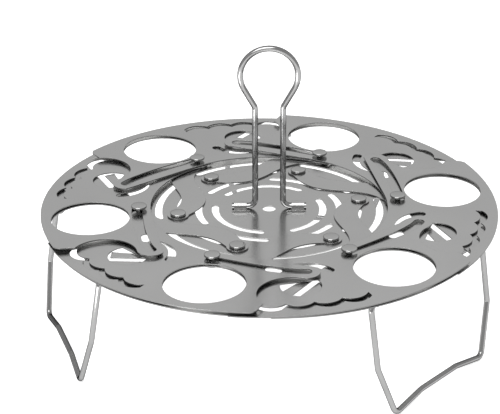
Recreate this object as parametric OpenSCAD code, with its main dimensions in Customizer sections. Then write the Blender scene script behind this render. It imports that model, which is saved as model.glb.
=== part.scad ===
// Expanding steamer rack: a slotted disc, six leaves that slide out on curved links,
// a folding wire handle and three folding wire legs. Millimetres, origin on the table
// under the centre of the disc, +Z up. The rack is drawn closed, standing on its legs.

/* [Plate] */
// Radius of the rim of the closed plate
rim_r = 94; // [93:0.5:97]
// Radius of the round opening inside the leaves
inner_r = 49; // [48.6:0.1:49.6]
// Thickness of a leaf
leaf_t = 0.45; // [0.4:0.05:0.5]
// Tilt of each leaf, so that it passes over one neighbour and under the other
leaf_tilt = 1.15; // [1.1:0.05:1.4]
// Height of a leaf's top face above the table, on the line through its egg hole
plate_z = 52.5; // [46:0.5:60]
// Direction of the first egg hole
first_angle = 10; // [0:1:30]
// How far the tail's rim stays inside the plate's rim
tail_inset = 0.6; // [0.4:0.1:1]
// Angle from the egg hole to the leading corner of a leaf
lead_angle = 16.2; // [15.5:0.1:17]

/* [Leaf holes] */
// Radius of an egg hole
egg_r = 16; // [14:0.5:16.5]
// Sheet left between an egg hole and the round opening
egg_land = 9; // [8.6:0.1:9.6]
// Radius of the D-shaped hole beside the egg hole
d_hole_r = 8; // [6:0.2:8.2]
// Distance of the D-shaped hole's centre from the round opening
d_hole_offset = 22.6; // [22:0.2:23]
// Angle of the D-shaped hole's centre, clockwise from the egg hole
d_hole_angle = 31; // [30.6:0.2:31.8]
// Distance from that centre to the flat side of the hole
d_hole_flat = 3.2; // [2:0.2:5]
// Radius of the hollow in the leading edge
hollow_r = 13; // [12:0.5:13.5]
// Bend radius of the claw-shaped hole
claw_r = 13.2; // [12.8:0.2:13.6]
// Width of the claw-shaped hole at its round end
claw_w = 3.8; // [3:0.2:4.6]
// Distance of the claw's bend centre from the round opening
claw_offset = 18.8; // [18:0.2:19.6]
// Angle of the claw's bend centre, clockwise from the egg hole
claw_angle = 29.6; // [29:0.2:30.2]
// Radius of the scallops' outer edge
scallop_r = 7.2; // [6.6:0.1:7.8]
// Sheet left between the scallops and the rim
scallop_land = 4.2; // [4:0.1:4.6]
// Width of the scalloped hole
scallop_w = 3; // [2.2:0.1:3.2]
// Angle of the first scallop, clockwise from the egg hole
scallop_angle = 18.2; // [17.8:0.1:18.6]
// Angle from one scallop to the next
scallop_step = 7.3; // [7:0.05:7.4]
// Width of the open slit in the tail
slit_w = 2.9; // [2.4:0.1:3.2]
// Distance of the slit's closed end from the round opening
slit_offset = 16.1; // [15.6:0.1:16.6]
// Angle of the slit's closed end, clockwise from the egg hole
slit_angle = 82.4; // [82:0.2:83]
// Length of the finger beside the slit
finger_length = 19; // [14:1:20]
// Width of the small window in the tail
window_w = 3.4; // [2.6:0.2:3.8]
// Length of the small window in the tail
window_length = 7; // [5:0.5:8]
// Distance of the small window from the round opening
window_offset = 8.8; // [8.4:0.2:9.2]
// Angle of the small window, clockwise from the egg hole
window_angle = 39; // [38:0.5:40]

/* [Linkage] */
// Distance of the link rivets inside the round opening
rivet_inset = 11; // [10.6:0.1:11.4]
// Distance of the closed outer pins outside the round opening
pin_offset = 4.7; // [4.5:0.1:5.1]
// Angle of a leaf's own outer pin, clockwise from its egg hole
pin_angle = 65; // [64.5:0.1:65.5]
// Turn of a link from closed to open
open_turn = 88; // [60:1:90]
// Turn of a leaf for each degree that its link turns
leaf_turn = 0.44; // [0.43:0.01:0.46]
// Share of the pin track's bow that the slot keeps
bow_share = 0.5; // [0.4:0.05:1]
// Sheet left round the end of the slot
slot_land = 3.3; // [2.8:0.1:3.5]
// Radius of the leaf round its outer pin
tail_boss_r = 5; // [4.6:0.1:5.2]
// Thickness of a link
link_t = 0.5; // [0.4:0.05:0.8]
// Radius of a link's round ends
link_end_r = 4.4; // [4:0.1:4.6]
// Half width of a link beside its round ends
link_neck = 4.1; // [3.6:0.1:4.2]
// Extra half width of a link at its middle
link_belly = 1.2; // [0.8:0.1:1.4]
// Sideways swing of a link's curved middle line
link_swing = 4.2; // [3.6:0.1:4.4]

/* [Rivets and pins] */
// Radius of an inner rivet's shank
rivet_r = 1.5; // [1.2:0.1:1.7]
// Radius of an outer pin's shank
pin_r = 1.2; // [1:0.05:1.3]
// Radius of the domed heads
head_r = 3.2; // [3.1:0.1:3.5]
// Height of the straight edge of a domed head
head_edge = 0.6; // [0.2:0.05:0.8]
// Height of the dome above that edge
head_dome = 0.5; // [0.4:0.1:1.2]
// Radius of the flat lower heads
foot_r = 2.2; // [2:0.1:2.4]
// Height of the flat lower heads
foot_h = 0.6; // [0.4:0.1:0.8]

/* [Disc] */
// How far the disc reaches out under the leaves
disc_lip = 0.8; // [0.4:0.1:1.6]
// Thickness of the disc
disc_t = 0.6; // [0.5:0.1:1]
// Radius of the centre hole
centre_r = 2.8; // [2.2:0.1:3.2]
// Width of the slots in the disc
ring_w = 3; // [2.2:0.1:3.2]
// Radius of the innermost ring of slots
ring_1_r = 22.3; // [21.6:0.1:23]
// Radius of the second ring of slots
ring_2_r = 29.2; // [28.6:0.1:30]
// Radius of the third ring of slots
ring_3_r = 36.8; // [36:0.1:37.4]
// Radius of the outermost ring of slots
ring_4_r = 45.7; // [45:0.1:46.2]

/* [Handle] */
// Radius of the handle wire
handle_wire_r = 1.2; // [1:0.05:1.3]
// Half distance between the handle's uprights
handle_half_w = 5.7; // [5:0.1:6]
// Height from the hinge to the flare below the loop
handle_neck = 44; // [34:1:50]
// Height from the hinge to the centre of the loop
loop_height = 57.5; // [56.5:0.5:62]
// Radius of the loop
loop_r = 11.6; // [10:0.2:12]
// Bend radius of the handle wire
handle_bend = 3; // [2:0.1:3.4]
// Distance from the centre to the inner side of a strap
strap_at = 9.3; // [9.2:0.1:10]
// Length of a strap along the wire
strap_length = 5.2; // [4:0.2:6]
// Thickness of a strap
strap_t = 0.6; // [0.5:0.05:0.8]
// How far a wire end stands out of its strap
wire_end = 0.8; // [0.4:0.1:1.5]

/* [Legs] */
// Radius of the leg wire
leg_wire_r = 1.15; // [1:0.05:1.2]
// Angle of a leg, clockwise from the egg hole of the leaf that carries it
leg_angle = 51.6; // [51:0.1:52.2]
// Distance from the rim to a leg's hinge
hinge_inset = 12.6; // [12.2:0.1:13.4]
// How far the feet stand out beyond the hinge
leg_splay = 7.8; // [5:0.2:9]
// Half distance between a leg's two wires
leg_half_w = 36; // [35:0.5:36.5]
// Half distance between a leg's two feet
feet_half_w = 28.5; // [26:0.5:30]
// Height of the knees above the table
knee_height = 21.5; // [18:0.5:28]
// Height of the raised middle of a leg above its feet
arch_height = 3; // [2.4:0.1:5]
// Half length of the raised middle
arch_half_w = 11.5; // [9:0.5:14]
// Bend radius of the leg wire
leg_bend = 3; // [2:0.1:3.2]
// Depth of the leg hinge below the plate
hinge_depth = 3.75; // [3.7:0.05:4.2]
// Wall of the knuckles that hold the leg wire
knuckle_wall = 0.7; // [0.5:0.05:0.9]
// Length of a knuckle
knuckle_length = 3; // [2.4:0.2:3.4]
// Sheet left between an egg hole and the knuckle beside it
knuckle_land = 3.6; // [3.2:0.1:4]

/* [Clearances] */
// Gap between sheets that slide over each other
sheet_gap = 0.1; // [0.06:0.01:0.12]
// Radial gap of a turning pin, rivet or wire
turn_gap = 0.05; // [0.03:0.01:0.08]
// Radial gap of a fixed shank
fixed_gap = 0.02; // [0.01:0.01:0.03]
// Side play of a pin in its slot, beyond the track's own bow
pin_play = 0.15; // [0.1:0.01:0.2]

/* [Hidden] */
$fn = 64;
leaves = 6;
leaf_step = 360 / leaves;
track_steps = 16;
scallops = 4;
// overrun of every cut
over = 1;
// balls that join the stretches of a wire, and how far from their centres the
// stretches stop, as shares of the wire's radius
ball_share = 1.02;
stop_share = 0.1;

// own frame of a leaf: its egg hole lies on +Y and its tail runs clockwise, to +X
function polar(r, angle) = [r * sin(angle), r * cos(angle)];
function turned(p, angle) = [p.x * cos(angle) - p.y * sin(angle), p.x * sin(angle) + p.y * cos(angle)];
function unit(v) = v / norm(v);
function left_of(v) = [-v.y, v.x];
function angle_of(v) = atan2(v.y, v.x);

// places that follow from the round opening and the rim
disc_r = inner_r + disc_lip;
pivot_r = inner_r - rivet_inset;
pin_ring_r = inner_r + pin_offset;
egg_ring_r = inner_r + egg_land + egg_r;
d_hole_ring_r = inner_r + d_hole_offset;
claw_ring_r = inner_r + claw_offset;
slit_ring_r = inner_r + slit_offset;
window_ring_r = inner_r + window_offset;
scallop_top = rim_r - scallop_land;
hinge_ring_r = rim_r - hinge_inset;

// linkage, in a leaf's own frame
pivot = [0, pivot_r];
own_pin = polar(pin_ring_r, pin_angle);
link_length = norm(own_pin - pivot);
link_rest = angle_of(own_pin - pivot);
function link_end(turn) = pivot + turned([link_length, 0], link_rest + turn);
function pin_track(turn) = own_pin + turned(link_end(turn), 2 * leaf_step - leaf_turn * turn);
track = [for (i = [0 : track_steps]) pin_track(open_turn * i / track_steps)];
chord = unit(track[track_steps] - track[0]);
function bow_of(p) = (p - track[0]) * left_of(chord);
bows = [for (p = track) bow_of(p)];
lost_bow = (1 - bow_share) * (max(bows) + min(bows));
slot_line = [for (p = track) p - left_of(chord) * ((1 - bow_share) * bow_of(p) - lost_bow / 2)];
slot_half_w = pin_r + pin_play + (1 - bow_share) * (max(bows) - min(bows)) / 2;
slot_end = slot_line[track_steps];
lobe_r = slot_half_w + slot_land;
// the hollow in the leading edge runs smoothly off the lobe round the slot's end
hollow_at = slot_end + [0, lobe_r + hollow_r];

// heights
fall = tan(leaf_tilt);
link_top = plate_z - (own_pin.x + tail_boss_r) * fall - leaf_t - sheet_gap;
disc_top = link_top - link_t - sheet_gap;
head_z = plate_z + (head_r - slot_end.x) * fall + sheet_gap;
handle_z = disc_top + handle_wire_r + sheet_gap;
hinge_z = plate_z - hinge_depth;
strap_inner_r = handle_wire_r + turn_gap;
strap_outer_r = strap_inner_r + strap_t;

// knuckles, in a leg's own frame: one stands beside the egg hole that the hinge passes
// under, and the other where the bend of the wire begins
hinge_egg = polar(egg_ring_r, 90 - leg_angle + leaf_step);
hole_half_w = sqrt(max(0, egg_r * egg_r - pow(hinge_ring_r - hinge_egg.x, 2)));
near_knuckle_at = hinge_egg.y + hole_half_w + knuckle_land;
far_knuckle_at = leg_half_w - leg_bend - knuckle_length - turn_gap;

// outline of the nose between the hollow and the rim, as shares of the leading corner's
// angle and of the rim radius
nose_share = [[1.2, 0.88], [1.133, 0.906], [1.05, 0.955], [1.015, 0.982], [0.97, 0.993], [0.9, 1.004]];
// how far the shoulder of a leaf reaches, as a share of the leading corner's angle
shoulder_share = 1.5;
// inner side of the tail beyond the pin, as shares of the rim radius
tail_share = [[0.553, 0.19], [0.8, -0.115], [1.1, -0.485]];
// start, end and turn of the disc's slots from the rivet beside them
ring_2_span = [-28, 16.5];
ring_3_span = [-44, -13];
ring_4_span = [-46, 0.5];
ring_1_span = [-15, 71];
ring_1_count = 3;
// ends of the claw-shaped hole, measured round its own bend
claw_span = [178, 254];
// the tail starts inside the leaf and is drawn past its end, which the slit then cuts
tail_from = 45;
tail_overlap = 5;
tail_reach = 104;
// directions of the D-shaped hole's flat side, the slit and the window, in a leaf's own frame
flat_dir = -27;
slit_dir = -45;
window_dir = -62;

module in_leaf_frame(k) {
    rotate([0, 0, first_angle + leaf_step * (k - 1) - 90]) children();
}

// flat shapes

module wedge(from, to) {
    steps = 8;
    reach = (rim_r + over) / cos((to - from) / steps / 2);
    polygon(concat([[0, 0]], [for (i = [0 : steps]) polar(reach, from + (to - from) * i / steps)]));
}

// a round-ended slot bent round the origin, as one outline; angles anticlockwise from +X
module arc_slot(r, w, from, to) {
    steps = 8;
    end_steps = 6;
    angles = [for (i = [0 : steps]) from + (to - from) * i / steps];
    round_end = [for (i = [1 : end_steps - 1]) turned([w / 2, 0], 180 * i / end_steps)];
    polygon(concat([for (a = angles) turned([r + w / 2, 0], a)],
                   [for (p = round_end) turned([r, 0] + p, to)],
                   [for (i = [steps : -1 : 0]) turned([r - w / 2, 0], angles[i])],
                   [for (p = round_end) turned([r, 0] - p, from)]));
}

module straight_slot(length, w) {
    square([length - w, w], center = true);
    for (s = [-1, 1]) translate([s * (length - w) / 2, 0]) circle(d = w);
}

module pin_slot() {
    last = track_steps;
    ways = [for (i = [0 : last]) unit(slot_line[min(i + 1, last)] - slot_line[max(i - 1, 0)])];
    polygon(concat([for (i = [0 : last]) slot_line[i] + left_of(ways[i]) * slot_half_w],
                   [for (i = [last : -1 : 0]) slot_line[i] - left_of(ways[i]) * slot_half_w]));
    for (p = [slot_line[0], slot_end]) translate(p) circle(slot_half_w);
}

// narrows from its round end to a point
module claw_hole() {
    steps = 10;
    end_steps = 6;
    function half_w(i) = claw_w / 2 * sqrt(1 - i / steps);
    function claw_way(i) = claw_span[0] + (claw_span[1] - claw_span[0]) * i / steps;
    round_end = [for (i = [1 : end_steps - 1]) turned([-claw_w / 2, 0], 180 * i / end_steps)];
    polygon(concat([for (i = [0 : steps]) turned([claw_r + half_w(i), 0], claw_way(i))],
                   [for (i = [steps - 1 : -1 : 0]) turned([claw_r - half_w(i), 0], claw_way(i))],
                   [for (p = round_end) turned([claw_r, 0] + p, claw_span[0])]));
}

module scallop_row(top) {
    for (i = [0 : scallops - 1]) translate(polar(top - scallop_r, scallop_angle + scallop_step * i))
        circle(scallop_r);
}

module scalloped_hole() {
    intersection() {
        difference() {
            scallop_row(scallop_top);
            scallop_row(scallop_top - scallop_w);
        }
        wedge(scallop_angle - scallop_step / 2, scallop_angle + scallop_step * (scallops - 1 / 2));
    }
}

module d_hole() {
    rotate([0, 0, flat_dir]) intersection() {
        circle(d_hole_r);
        translate([-d_hole_r, -d_hole_flat]) square(2 * d_hole_r);
    }
}

// runs out past the finger's end and leaves the rest of the tail beyond it
module tail_slit() {
    circle(d = slit_w);
    translate([0, -slit_w / 2]) square([rim_r, slit_w]);
    translate([finger_length, slit_w / 2 - rim_r]) square(rim_r);
}

module leaf_sheet() {
    difference() {
        union() {
            intersection() {
                circle(rim_r);
                wedge(-lead_angle * shoulder_share, tail_from + tail_overlap);
            }
            intersection() {
                circle(rim_r - tail_inset);
                wedge(tail_from, tail_reach);
            }
            translate(slot_end) circle(lobe_r);
            translate([slot_end.x, inner_r]) square([-slot_end.x, hollow_at.y - inner_r]);
            translate(own_pin) circle(tail_boss_r);
        }
        // round opening, straight on the leading side
        difference() {
            circle(inner_r);
            translate(own_pin) circle(tail_boss_r);
        }
        translate([-rim_r, -rim_r]) square([rim_r, rim_r + inner_r]);
        translate(hollow_at) circle(hollow_r);
        polygon(concat([hollow_at], [for (share = nose_share) polar(rim_r * share.y, -lead_angle * share.x)],
                       [[-rim_r, rim_r]]));
        difference() {
            polygon(concat(tail_share * rim_r, [[0, -rim_r], [0, 0]]));
            translate(own_pin) circle(tail_boss_r);
        }
        for (angle = [0, leaf_step]) translate(polar(egg_ring_r, angle)) circle(egg_r);
        translate(polar(d_hole_ring_r, d_hole_angle)) d_hole();
        translate(polar(claw_ring_r, claw_angle)) claw_hole();
        scalloped_hole();
        translate(polar(slit_ring_r, slit_angle)) rotate([0, 0, slit_dir]) tail_slit();
        translate(polar(window_ring_r, window_angle)) rotate([0, 0, window_dir])
            straight_slot(window_length, window_w);
        pin_slot();
    }
}

module link_band() {
    steps = 28;
    shares = [for (i = [0 : steps]) i / steps];
    function middle(share) = -link_swing * sin(360 * share);
    function half_w(share) = link_neck + link_belly * sin(180 * share);
    translate(pivot) rotate([0, 0, link_rest])
        polygon(concat([for (s = shares) [link_length * s, middle(s) + half_w(s)]],
                       [for (i = [steps : -1 : 0])
                           [link_length * shares[i], middle(shares[i]) - half_w(shares[i])]]));
}

// wires

// a wire bent in the XY plane, with an arc of the given radius at each inner point;
// straights and arcs stop just short of each other inside a ball that joins them
module bent_wire(points, r, bend) {
    last = len(points) - 1;
    stop = r * stop_share;
    ways = [for (i = [0 : last - 1]) unit(points[i + 1] - points[i])];
    // signed turn at each point, zero at the two ends
    turns = [for (i = [0 : last]) i == 0 || i == last ? 0
             : atan2(cross(ways[i - 1], ways[i]), ways[i - 1] * ways[i])];
    cuts = [for (t = turns) bend * tan(abs(t) / 2) + stop * abs(sign(t))];
    for (i = [0 : last - 1]) {
        from = points[i] + ways[i] * cuts[i];
        to = points[i + 1] - ways[i] * cuts[i + 1];
        translate(from) rotate([0, 0, angle_of(ways[i])]) rotate([0, 90, 0])
            cylinder(r = r, h = norm(to - from));
    }
    for (i = [1 : 1 : last - 1]) {
        start = points[i] - ways[i - 1] * (cuts[i] - stop);
        end = points[i] + ways[i] * (cuts[i] - stop);
        centre = start + left_of(ways[i - 1]) * sign(turns[i]) * bend;
        translate(centre) rotate([0, 0, angle_of(start - centre) + min(turns[i], 0)])
            wire_arc(bend, r, abs(turns[i]));
        for (p = [start, end]) translate(p) sphere(r * ball_share);
    }
}

// an arc of wire round the origin from +X, a little short of the angle at both ends
module wire_arc(bend, r, angle) {
    stop = atan(r * stop_share / bend);
    rotate([0, 0, stop]) rotate_extrude(angle = angle - 2 * stop) translate([bend, 0]) circle(r);
}

// rivets and pins

module domed_head() {
    ball_r = (head_r * head_r + head_dome * head_dome) / (2 * head_dome);
    cylinder(r = head_r, h = head_edge);
    translate([0, 0, head_edge]) intersection() {
        translate([0, 0, head_dome - ball_r]) sphere(ball_r);
        cylinder(r = head_r, h = head_dome + over);
    }
}

// a rivet from its lower head's bottom up to its domed head
module rivet(r, bottom, head) {
    translate([0, 0, bottom]) cylinder(r = foot_r, h = foot_h);
    translate([0, 0, bottom]) cylinder(r = r, h = head - bottom);
    translate([0, 0, head]) domed_head();
}

// sub-parts

module disc() {
    color([0.68, 0.68, 0.67]) {
        difference() {
            translate([0, 0, disc_top - disc_t]) cylinder(r = disc_r, h = disc_t);
            translate([0, 0, disc_top - disc_t - over]) {
                cylinder(r = centre_r, h = disc_t + 2 * over);
                for (k = [1 : leaves]) in_leaf_frame(k) translate(pivot)
                    cylinder(r = rivet_r + fixed_gap, h = disc_t + 2 * over);
                linear_extrude(disc_t + 2 * over) disc_slots();
                for (side = [-1, 1]) translate([side * (strap_at + strap_length / 2), 0])
                    translate([-strap_length / 2, -strap_inner_r, 0])
                        cube([strap_length, 2 * strap_inner_r, disc_t + 2 * over]);
            }
        }
        for (side = [-1, 1]) translate([side * (strap_at + strap_length / 2), 0, 0]) strap();
    }
}

// angles of the slots run from the rivet of the first leaf
module disc_slots() {
    for (k = [1 : leaves]) rotate([0, 0, first_angle + leaf_step * (k - 1)]) {
        arc_slot(ring_2_r, ring_w, ring_2_span[0], ring_2_span[1]);
        arc_slot(ring_3_r, ring_w, ring_3_span[0], ring_3_span[1]);
        arc_slot(ring_4_r, ring_w, ring_4_span[0], ring_4_span[1]);
    }
    for (k = [1 : ring_1_count]) rotate([0, 0, first_angle + leaf_step + 360 / ring_1_count * (k - 1)])
        arc_slot(ring_1_r, ring_w, ring_1_span[0], ring_1_span[1]);
}

// raised strip over the handle wire, standing on both sides of its opening in the disc
module strap() {
    foot_z = disc_top - disc_t / 2;
    translate([-strap_length / 2, 0, handle_z]) rotate([90, 0, 90])
    linear_extrude(strap_length) difference() {
        union() {
            circle(strap_outer_r);
            translate([-strap_outer_r, foot_z - handle_z]) square([2 * strap_outer_r, handle_z - foot_z]);
        }
        circle(strap_inner_r);
        translate([-strap_inner_r, foot_z - handle_z - over])
            square([2 * strap_inner_r, handle_z - foot_z + over]);
        translate([-strap_outer_r - over, foot_z - handle_z - strap_outer_r])
            square([2 * (strap_outer_r + over), strap_outer_r]);
    }
}

module disc_rivets() {
    color([0.78, 0.78, 0.77]) for (k = [1 : leaves]) in_leaf_frame(k) translate(pivot)
        rivet(rivet_r, disc_top - disc_t - foot_h, link_top + sheet_gap);
}

module link(k) {
    color([0.72, 0.72, 0.71]) in_leaf_frame(k) difference() {
        translate([0, 0, link_top - link_t]) {
            linear_extrude(link_t) link_band();
            for (p = [pivot, own_pin]) translate(p) cylinder(r = link_end_r, h = link_t);
        }
        translate([0, 0, link_top - link_t - over]) {
            translate(pivot) cylinder(r = rivet_r + turn_gap, h = link_t + 2 * over);
            translate(own_pin) cylinder(r = pin_r + fixed_gap, h = link_t + 2 * over);
        }
    }
}

module pin(k) {
    color([0.8, 0.8, 0.79]) in_leaf_frame(k) translate(own_pin)
        rivet(pin_r, link_top - link_t - foot_h, head_z);
}

module leaf(k) {
    color([0.66, 0.66, 0.65]) in_leaf_frame(k) difference() {
        on_leaf_underside() linear_extrude(leaf_t) leaf_sheet();
        translate([own_pin.x, own_pin.y, link_top - link_t])
            cylinder(r = pin_r + turn_gap, h = plate_z + over - link_top + link_t);
    }
}

module on_leaf_underside() {
    translate([0, 0, plate_z]) rotate([0, leaf_tilt, 0]) translate([0, 0, -leaf_t]) children();
}

// a leg and its knuckles belong to every other leaf
module in_carrier_frame(k) {
    in_leaf_frame(2 * k - 1) children();
}

// own frame of a leg: X out from the centre, Y anticlockwise along the hinge
module in_leg_frame() {
    rotate([0, 0, 90 - leg_angle]) children();
}

// two short tubes welded under a leaf, cut off level with its underside
module knuckles(k) {
    outer_r = leg_wire_r + turn_gap + knuckle_wall;
    web_h = hinge_depth;
    color([0.7, 0.7, 0.69]) in_carrier_frame(k) difference() {
        in_leg_frame() for (y = [near_knuckle_at, -far_knuckle_at - knuckle_length])
            translate([hinge_ring_r, y, hinge_z]) difference() {
                union() {
                    rotate([-90, 0, 0]) cylinder(r = outer_r, h = knuckle_length);
                    translate([-outer_r, 0, 0]) cube([2 * outer_r, knuckle_length, web_h]);
                }
                translate([0, -over, 0]) rotate([-90, 0, 0])
                    cylinder(r = leg_wire_r + turn_gap, h = knuckle_length + 2 * over);
            }
        on_leaf_underside() translate([0, -rim_r, 0]) cube([rim_r, 2 * rim_r, web_h]);
    }
}

module handle() {
    flare_from = [handle_half_w, handle_neck];
    loop_centre = [0, loop_height];
    to_flare = flare_from - loop_centre;
    loop_angle = angle_of(to_flare) + acos(loop_r / norm(to_flare));
    flare_to = loop_centre + turned([loop_r, 0], loop_angle);
    flare_end = flare_to - unit(flare_to - flare_from) * handle_wire_r * stop_share;
    wire_from = [strap_at + strap_length + wire_end, 0];
    color([0.8, 0.8, 0.8]) translate([0, 0, handle_z]) rotate([90, 0, 0]) {
        for (side = [0, 1]) mirror([side, 0, 0]) {
            bent_wire([wire_from, [handle_half_w, 0], flare_from, flare_end], handle_wire_r, handle_bend);
            translate(flare_to) sphere(handle_wire_r * ball_share);
        }
        translate(loop_centre) rotate([0, 0, loop_angle])
            wire_arc(loop_r, handle_wire_r, 180 - 2 * loop_angle);
    }
}

// a leg lies in its own plane: first along the hinge, then down from it
module leg(k) {
    leg_drop = hinge_z - leg_wire_r;
    lean = atan(leg_splay / leg_drop);
    span = leg_drop / cos(lean);
    knee = span - knee_height / cos(lean);
    near_end = near_knuckle_at - wire_end;
    far_end = far_knuckle_at - wire_end;
    points = [[-far_end, 0], [-leg_half_w, 0], [-leg_half_w, knee], [-feet_half_w, span],
              [-arch_half_w, span - arch_height], [arch_half_w, span - arch_height],
              [feet_half_w, span], [leg_half_w, knee], [leg_half_w, 0], [near_end, 0]];
    color([0.8, 0.8, 0.8]) in_carrier_frame(k) in_leg_frame() translate([hinge_ring_r, 0, hinge_z])
        rotate([0, -lean, 0]) rotate([-90, 0, -90]) mirror([1, 0, 0])
            bent_wire(points, leg_wire_r, leg_bend);
}

disc();
disc_rivets();
handle();
link(1);  // link_1
link(2);  // link_2
link(3);  // link_3
link(4);  // link_4
link(5);  // link_5
link(6);  // link_6
pin(1);  // pin_1
pin(2);  // pin_2
pin(3);  // pin_3
pin(4);  // pin_4
pin(5);  // pin_5
pin(6);  // pin_6
leaf(1);  // leaf_1
leaf(2);  // leaf_2
leaf(3);  // leaf_3
leaf(4);  // leaf_4
leaf(5);  // leaf_5
leaf(6);  // leaf_6
knuckles(1);  // knuckles_1
knuckles(2);  // knuckles_2
knuckles(3);  // knuckles_3
leg(1);  // leg_1
leg(2);  // leg_2
leg(3);  // leg_3
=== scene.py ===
import bpy
import bmesh
import math
from mathutils import Vector, Matrix


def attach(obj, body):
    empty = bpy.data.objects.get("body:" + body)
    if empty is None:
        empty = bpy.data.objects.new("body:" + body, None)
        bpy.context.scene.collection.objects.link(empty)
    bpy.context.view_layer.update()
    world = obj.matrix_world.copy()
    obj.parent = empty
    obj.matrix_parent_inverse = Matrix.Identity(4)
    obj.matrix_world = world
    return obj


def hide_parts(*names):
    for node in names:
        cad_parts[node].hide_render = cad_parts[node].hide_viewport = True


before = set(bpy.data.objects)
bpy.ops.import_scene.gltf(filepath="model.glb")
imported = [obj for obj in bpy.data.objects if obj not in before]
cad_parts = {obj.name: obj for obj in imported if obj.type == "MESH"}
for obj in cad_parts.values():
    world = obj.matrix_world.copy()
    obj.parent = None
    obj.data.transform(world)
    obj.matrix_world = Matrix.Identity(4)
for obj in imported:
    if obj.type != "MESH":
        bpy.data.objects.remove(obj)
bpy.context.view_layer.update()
print("loaded", len(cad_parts), "nodes")

mm = 0.001

# where the pieces of the rack sit, as in the part's source; lengths in millimetres
rack = {"leaves": 6, "legs": 3, "firstAngle": 10, "leafStep": 60, "rivetRing": 38, "pinRing": 53.7,
        "pinAngle": 65, "discTop": 50.2727, "discThick": 0.6, "linkTop": 50.8727, "linkThick": 0.5,
        "slideGap": 0.1, "hingeRing": 81.4, "hingeHeight": 48.75, "legAngle": 51.6}


def aroundRack(radius, degrees):
    turn = math.radians(degrees)
    return Vector((radius * math.cos(turn), radius * math.sin(turn), 0)) * mm


# materials; the side entry of each look is the share of the colour left on upright faces: painted shade

sheetLook = {"colour": (0.62, 0.62, 0.615), "dark": (0.585, 0.585, 0.58), "glance": (0.62, 0.62, 0.62),
             "roughness": 0.2, "sides": 0.3, "lines": 900, "lineStretch": (0.02, 1, 1), "clouds": 30,
             "marks": 160, "markStretch": (1, 0.25, 1), "bump": 0.012, "edge": 0.00013, "edgeSamples": 6}
discLook = {**sheetLook, "sides": 0.5}
wireLook = {"colour": (0.33, 0.33, 0.33), "dark": (0.28, 0.28, 0.28), "glance": (0.02, 0.02, 0.02),
            "roughness": 0.11, "clouds": 60, "marks": 900, "bump": 0.015}
# the heads' upright walls get painted shade, down to a fifth of their colour
headLook = {"colour": (0.62, 0.62, 0.615), "dark": (0.57, 0.57, 0.565), "glance": (0.4, 0.4, 0.4),
            "roughness": 0.14, "sides": 0.2, "clouds": 60, "marks": 900, "bump": 0.015}
# how flat a face has to lie before its painted shade starts to lift, and where it has its full colour
flatFrom, flatTo = 0.25, 0.96
bumpDepth = 0.0001


def newMaterial(name, glance):
    material = bpy.data.materials.new(name)
    material.use_nodes = True
    tree = material.node_tree
    shader = tree.nodes["Principled BSDF"]
    shader.inputs["Metallic"].default_value = 1.0
    shader.inputs["Specular Tint"].default_value = (*glance, 1)
    coords = tree.nodes.new("ShaderNodeTexCoord")
    return material, tree, shader, coords.outputs


def noiseOn(tree, place, scale, detail, stretch=(1, 1, 1)):
    mapping = tree.nodes.new("ShaderNodeMapping")
    mapping.inputs["Scale"].default_value = stretch
    tree.links.new(place, mapping.inputs["Vector"])
    noise = tree.nodes.new("ShaderNodeTexNoise")
    noise.inputs["Scale"].default_value = scale
    noise.inputs["Detail"].default_value = detail
    tree.links.new(mapping.outputs["Vector"], noise.inputs["Vector"])
    return noise.outputs["Fac"]


def blendColours(tree, factor, low, high):
    ramp = tree.nodes.new("ShaderNodeValToRGB")
    stops = ramp.color_ramp.elements
    stops[0].position, stops[0].color = 0.3, (*low, 1)
    stops[1].position, stops[1].color = 0.7, (*high, 1)
    tree.links.new(factor, ramp.inputs["Fac"])
    return ramp.outputs["Color"]


def spread(tree, factor, low, high, start=0.0, end=1.0):
    span = tree.nodes.new("ShaderNodeMapRange")
    span.inputs["From Min"].default_value = start
    span.inputs["From Max"].default_value = end
    span.inputs["To Min"].default_value = low
    span.inputs["To Max"].default_value = high
    tree.links.new(factor, span.inputs["Value"])
    return span.outputs["Result"]


def addBump(tree, shader, height, strength):
    bump = tree.nodes.new("ShaderNodeBump")
    bump.inputs["Strength"].default_value = strength
    bump.inputs["Distance"].default_value = bumpDepth
    tree.links.new(height, bump.inputs["Height"])
    tree.links.new(bump.outputs["Normal"], shader.inputs["Normal"])
    return bump


# painted shade: upright faces, such as cut edges, get a darker colour than the rolled faces, the steeper the
# darker
def shadeUprightFaces(tree, normal, colour, share):
    parts = tree.nodes.new("ShaderNodeSeparateXYZ")
    tree.links.new(normal, parts.inputs["Vector"])
    flatness = tree.nodes.new("ShaderNodeMath")
    flatness.operation = "ABSOLUTE"
    tree.links.new(parts.outputs["Z"], flatness.inputs[0])
    scaled = tree.nodes.new("ShaderNodeVectorMath")
    scaled.operation = "SCALE"
    tree.links.new(colour, scaled.inputs[0])
    tree.links.new(spread(tree, flatness.outputs["Value"], share, 1, flatFrom, flatTo), scaled.inputs["Scale"])
    return scaled.outputs["Vector"]
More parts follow.
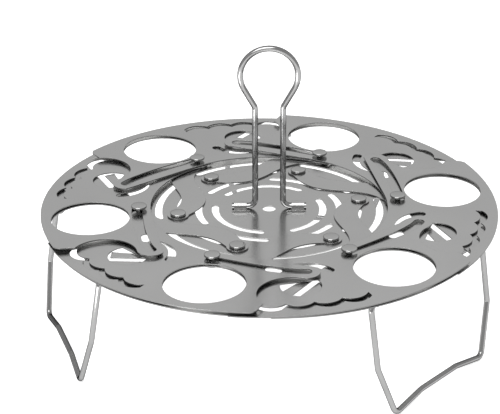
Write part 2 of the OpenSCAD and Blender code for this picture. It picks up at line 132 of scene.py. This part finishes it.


# rolled sheet: fine lines one way, faint clouds, a few handling marks, softened cut edges and painted shade on
# upright faces
def sheetMaterial(name, look, turn):
    material, tree, shader, coords = newMaterial(name, look["glance"])
    turned = tree.nodes.new("ShaderNodeMapping")
    turned.inputs["Rotation"].default_value = (0, 0, math.radians(turn))
    tree.links.new(coords["Object"], turned.inputs["Vector"])
    lines = noiseOn(tree, turned.outputs["Vector"], look["lines"], 2, look["lineStretch"])
    clouds = noiseOn(tree, coords["Object"], look["clouds"], 2)
    marks = noiseOn(tree, turned.outputs["Vector"], look["marks"], 4, look["markStretch"])
    colour = blendColours(tree, clouds, look["dark"], look["colour"])
    # painted shade: the upright faces are darkened by their slope
    colour = shadeUprightFaces(tree, coords["Normal"], colour, look["sides"])
    tree.links.new(colour, shader.inputs["Base Color"])
    mixed = tree.nodes.new("ShaderNodeMath")
    mixed.operation = "ADD"
    tree.links.new(spread(tree, lines, -0.02, 0.03), mixed.inputs[0])
    tree.links.new(spread(tree, marks, look["roughness"] - 0.03, look["roughness"] + 0.04), mixed.inputs[1])
    tree.links.new(mixed.outputs["Value"], shader.inputs["Roughness"])
    bump = addBump(tree, shader, lines, look["bump"])
    softened = tree.nodes.new("ShaderNodeBevel")
    softened.samples = look["edgeSamples"]
    softened.inputs["Radius"].default_value = look["edge"]
    tree.links.new(softened.outputs["Normal"], bump.inputs["Normal"])
    return material


# drawn or turned round stock: nearly smooth, with faint drag marks; heads also get painted shade on their
# upright walls
def polishedMaterial(name, look):
    material, tree, shader, coords = newMaterial(name, look["glance"])
    clouds = noiseOn(tree, coords["Object"], look["clouds"], 3)
    marks = noiseOn(tree, coords["Object"], look["marks"], 2)
    colour = blendColours(tree, clouds, look["dark"], look["colour"])
    # painted shade on the upright walls, for looks that have a side entry
    if "sides" in look:
        colour = shadeUprightFaces(tree, coords["Normal"], colour, look["sides"])
    tree.links.new(colour, shader.inputs["Base Color"])
    rough = spread(tree, marks, look["roughness"] - 0.03, look["roughness"] + 0.04)
    tree.links.new(rough, shader.inputs["Roughness"])
    addBump(tree, shader, marks, look["bump"])
    return material


def dress(node, material):
    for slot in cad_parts[node].material_slots:
        slot.material = material


# the lines of each sheet run their own way
rolling = {"disc": 20, "leaf": 10, "link": 40}

discSteel = sheetMaterial("discSteel", discLook, rolling["disc"])
wireSteel = polishedMaterial("wireSteel", wireLook)
headSteel = polishedMaterial("headSteel", headLook)
dress("disc", discSteel)
for side in range(1, rack["leaves"] + 1):
    along = rack["leafStep"] * side
    dress(f"leaf_{side}", sheetMaterial(f"leafSteel{side}", sheetLook, rolling["leaf"] + along))
    dress(f"link_{side}", sheetMaterial(f"linkSteel{side}", sheetLook, rolling["link"] + along))
for leg in range(1, rack["legs"] + 1):
    dress(f"knuckles_{leg}", discSteel)
print("steel done")

sharpAngle = math.radians(40)


def finishPiece(net, name, material, body, nodes=()):
    bmesh.ops.remove_doubles(net, verts=net.verts, dist=mm * mm)
    bmesh.ops.recalc_face_normals(net, faces=net.faces)
    for edge in net.edges:
        edge.smooth = len(edge.link_faces) == 2 and edge.calc_face_angle() < sharpAngle
    for face in net.faces:
        face.smooth = True
    mesh = bpy.data.meshes.new(name)
    net.to_mesh(mesh)
    net.free()
    mesh.materials.append(material)
    piece = bpy.data.objects.new(name, mesh)
    bpy.context.scene.collection.objects.link(piece)
    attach(piece, body)
    if nodes:
        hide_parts(*nodes)


# rivets and pins: a headed shank with a closed lower head

rivetLook = {"footRadius": 2.2, "footHeight": 0.6, "rivetShank": 1.5, "pinShank": 1.2, "pinHead": 53.345,
             "steps": 48}
# radius and height of each turned head, from its underside to the middle of its top
headProfile = [(3.02, 0), (3.12, 0.04), (3.14, 0.12), (3.14, 0.3), (3.06, 0.37), (3.0, 0.4), (3.06, 0.43),
               (3.16, 0.47), (3.2, 0.54), (3.2, 0.68), (3.14, 0.82), (3.0, 0.93), (2.75, 1.0), (2.3, 1.04),
               (1.3, 1.08), (0, 1.1)]


def turnRivet(net, place, shank, bottom, head):
    foot = rivetLook["footRadius"]
    top = bottom + rivetLook["footHeight"]
    outline = [(0, bottom), (foot - 0.5, bottom), (foot - 0.12, bottom + 0.08), (foot, bottom + 0.22),
               (foot, top - 0.06), (foot - 0.06, top), (shank, top), (shank, head)]
    outline += [(radius, head + height) for radius, height in headProfile]
    corners = [net.verts.new(place + Vector((radius, 0, height)) * mm) for radius, height in outline]
    lines = [net.edges.new(pair) for pair in zip(corners, corners[1:])]
    bmesh.ops.spin(net, geom=corners + lines, axis=(0, 0, 1), cent=place, angle=math.tau,
                   steps=rivetLook["steps"], use_merge=True)


rivets = bmesh.new()
rivetBottom = rack["discTop"] - rack["discThick"] - rivetLook["footHeight"]
pinBottom = rack["linkTop"] - rack["linkThick"] - rivetLook["footHeight"]
for side in range(rack["leaves"]):
    facing = rack["firstAngle"] + rack["leafStep"] * side
    turnRivet(rivets, aroundRack(rack["rivetRing"], facing), rivetLook["rivetShank"], rivetBottom,
              rack["linkTop"] + rack["slideGap"])
finishPiece(rivets, "discRivets", headSteel, "plate_centre", ["disc_rivets"])
for side in range(1, rack["leaves"] + 1):
    pin = bmesh.new()
    facing = rack["firstAngle"] + rack["leafStep"] * (side - 1) - rack["pinAngle"]
    turnRivet(pin, aroundRack(rack["pinRing"], facing), rivetLook["pinShank"], pinBottom, rivetLook["pinHead"])
    finishPiece(pin, f"outerPin{side}", headSteel, f"arm_{side}", [f"pin_{side}"])
print("rivets done")

# the disc's edge reaches out under the leaves, with a notch for each outer pin

rimLook = {"inner": 49.8, "outer": 52.6, "notch": 2.6, "segments": 720}


def rimRadius(degrees):
    firstPin = rack["firstAngle"] - rack["pinAngle"]
    turns = [degrees - firstPin - rack["leafStep"] * side for side in range(rack["leaves"])]
    away = min(abs((turn + 180) % 360 - 180) for turn in turns)
    across = rack["pinRing"] * math.sin(math.radians(away))
    if across > rimLook["notch"]:
        return rimLook["outer"]
    toPin = rack["pinRing"] * math.cos(math.radians(away))
    return min(rimLook["outer"], toPin - math.sqrt(rimLook["notch"] ** 2 - across ** 2))


def discEdge():
    net = bmesh.new()
    bmesh.ops.create_circle(net, cap_ends=False, segments=rimLook["segments"], radius=rimLook["inner"] * mm)
    widened = bmesh.ops.extrude_edge_only(net, edges=list(net.edges))["geom"]
    for item in widened:
        if isinstance(item, bmesh.types.BMVert):
            item.co *= rimRadius(math.degrees(math.atan2(item.co.y, item.co.x))) / rimLook["inner"]
    bmesh.ops.translate(net, verts=net.verts, vec=(0, 0, (rack["discTop"] - rack["discThick"]) * mm))
    raised = bmesh.ops.extrude_face_region(net, geom=list(net.faces))["geom"]
    upper = [item for item in raised if isinstance(item, bmesh.types.BMVert)]
    bmesh.ops.translate(net, verts=upper, vec=(0, 0, rack["discThick"] * mm))
    return net


finishPiece(discEdge(), "discEdge", discSteel, "plate_centre")
print("disc edge done")

# wires: one smooth round sweep each, along the same line as the solid

handleLook = {"wire": 1.2, "halfWidth": 5.7, "neck": 44, "loopHeight": 57.5, "loop": 11.6, "loopSteps": 48,
              "bend": 3, "reach": 15.3, "height": 51.5727}
legLook = {"wire": 1.15, "halfWidth": 36, "feetHalf": 28.5, "knee": 21.5, "archHeight": 3, "archHalf": 11.5,
           "bend": 3, "splay": 7.8, "nearEnd": 5.73, "farEnd": 29.15}
bendSteps = 10
roundness = 6


def rounded(points, bend):
    path = [points[0]]
    for before, corner, after in zip(points, points[1:], points[2:]):
        back = (before - corner).normalized()
        ahead = (after - corner).normalized()
        half = back.angle(ahead) / 2
        cut = bend / math.tan(half)
        centre = corner + (back + ahead).normalized() * (bend / math.sin(half))
        start = corner + back * cut - centre
        end = corner + ahead * cut - centre
        sweep = start.angle(end)
        for step in range(bendSteps + 1):
            share = step / bendSteps
            spot = start * math.sin((1 - share) * sweep) + end * math.sin(share * sweep)
            path.append(centre + spot / math.sin(sweep))
    path.append(points[-1])
    return path


def sweepWire(name, path, radius, body, node):
    curve = bpy.data.curves.new(name, "CURVE")
    curve.dimensions = "3D"
    curve.bevel_depth = radius * mm
    curve.bevel_resolution = roundness
    curve.use_fill_caps = True
    line = curve.splines.new("POLY")
    line.points.add(len(path) - 1)
    for spot, place in zip(line.points, path):
        spot.co = (*(place * mm), 1)
    holder = bpy.data.objects.new(name + "Line", curve)
    bpy.context.scene.collection.objects.link(holder)
    net = bmesh.new()
    net.from_mesh(holder.to_mesh())
    holder.to_mesh_clear()
    bpy.data.objects.remove(holder)
    finishPiece(net, name, wireSteel, body, [node])


# a keyhole seen from the front: out of one strap, up, round the loop and down into the other
def handlePath(look):
    flareFrom = Vector((look["halfWidth"], look["neck"], 0))
    centre = Vector((0, look["loopHeight"], 0))
    toFlare = flareFrom - centre
    touch = math.atan2(toFlare.y, toFlare.x) + math.acos(look["loop"] / toFlare.length)

    def onLoop(turn):
        return centre + Vector((math.cos(turn), math.sin(turn), 0)) * look["loop"]

    side = rounded([Vector((look["reach"], 0, 0)), Vector((look["halfWidth"], 0, 0)), flareFrom, onLoop(touch)],
                   look["bend"])
    steps = look["loopSteps"]
    loop = [onLoop(touch + (math.pi - 2 * touch) * step / steps) for step in range(1, steps)]
    path = side + loop + [Vector((-p.x, p.y, 0)) for p in reversed(side)]
    return [Vector((p.x, 0, p.y + look["height"])) for p in path]


# a trapeze with its lower side raised in the middle, hung from the hinge and leaning out
def legPath(look, leg):
    drop = rack["hingeHeight"] - look["wire"]
    lean = math.atan2(look["splay"], drop)
    span = drop / math.cos(lean)
    knee = span - look["knee"] / math.cos(lean)
    arch = span - look["archHeight"]
    flat = [(-look["farEnd"], 0), (-look["halfWidth"], 0), (-look["halfWidth"], knee),
            (-look["feetHalf"], span), (-look["archHalf"], arch), (look["archHalf"], arch),
            (look["feetHalf"], span), (look["halfWidth"], knee), (look["halfWidth"], 0), (look["nearEnd"], 0)]
    path = rounded([Vector((along, down, 0)) for along, down in flat], look["bend"])
    facing = math.radians(rack["firstAngle"] + 2 * rack["leafStep"] * (leg - 1) - rack["legAngle"])
    out = Vector((math.cos(facing), math.sin(facing), 0))
    across = Vector((-out.y, out.x, 0))
    down = out * math.sin(lean) - Vector((0, 0, math.cos(lean)))
    hinge = out * rack["hingeRing"] + Vector((0, 0, rack["hingeHeight"]))
    return [hinge + across * p.x + down * p.y for p in path]


sweepWire("handleWire", handlePath(handleLook), handleLook["wire"], "handle_wire", "handle")
for leg in range(1, rack["legs"] + 1):
    sweepWire(f"legWire{leg}", legPath(legLook, leg), legLook["wire"], f"stand_{leg}", f"leg_{leg}")
print("wires done")

# floor, light and camera, in metres

stageLook = {"floor": (0.9, 0.9, 0.9), "roughness": 0.9, "glow": 0.55, "size": 4, "world": 0.66}
lamps = [
    {"name": "softBox", "place": (-0.3, -0.8, 1.3), "aim": (0, 0, 0), "size": 1.2, "power": 18},
    {"name": "tableLight", "place": (-0.17, -0.24, 0.004), "aim": (-0.17, -0.24, 1), "size": 0.16, "power": 0.6},
]
cameraPlace = {"eye": (-0.0079, -0.6627, 0.3687), "target": (-0.0079, -0.00426, 0.053), "roll": -0.005,
               "lens": 127.9, "sensor": 36, "nearest": 0.01}


def makeFloor(look):
    net = bmesh.new()
    bmesh.ops.create_grid(net, x_segments=1, y_segments=1, size=look["size"] / 2)
    mesh = bpy.data.meshes.new("floor")
    net.to_mesh(mesh)
    net.free()
    floor = bpy.data.objects.new("floor", mesh)
    bpy.context.scene.collection.objects.link(floor)
    material = bpy.data.materials.new("floorPaper")
    material.use_nodes = True
    shader = material.node_tree.nodes["Principled BSDF"]
    shader.inputs["Base Color"].default_value = (*look["floor"], 1)
    shader.inputs["Roughness"].default_value = look["roughness"]
    shader.inputs["Emission Color"].default_value = (1, 1, 1, 1)
    shader.inputs["Emission Strength"].default_value = look["glow"]
    mesh.materials.append(material)


def makeWorld(look):
    world = bpy.data.worlds.new("studio")
    world.use_nodes = True
    sky = world.node_tree.nodes["Background"]
    sky.inputs["Color"].default_value = (1, 1, 1, 1)
    sky.inputs["Strength"].default_value = look["world"]
    bpy.context.scene.world = world


def makeLamp(lamp):
    light = bpy.data.lights.new(lamp["name"], "AREA")
    light.energy = lamp["power"]
    light.size = lamp["size"]
    holder = bpy.data.objects.new(lamp["name"], light)
    holder.location = lamp["place"]
    way = Vector(lamp["aim"]) - Vector(lamp["place"])
    holder.rotation_euler = way.to_track_quat("-Z", "Y").to_euler()
    holder.visible_camera = False
    bpy.context.scene.collection.objects.link(holder)


def makeCamera(place):
    camera = bpy.data.cameras.new("camera")
    camera.lens = place["lens"]
    camera.sensor_width = place["sensor"]
    camera.clip_start = place["nearest"]
    holder = bpy.data.objects.new("camera", camera)
    holder.location = place["eye"]
    way = Vector(place["target"]) - Vector(place["eye"])
    turn = way.to_track_quat("-Z", "Y").to_matrix() @ Matrix.Rotation(place["roll"], 3, "Z")
    holder.rotation_euler = turn.to_euler()
    bpy.context.scene.collection.objects.link(holder)
    bpy.context.scene.camera = holder


makeFloor(stageLook)
makeWorld(stageLook)
for lamp in lamps:
    makeLamp(lamp)
makeCamera(cameraPlace)
bpy.context.scene.view_settings.view_transform = "Standard"
print("stage done")
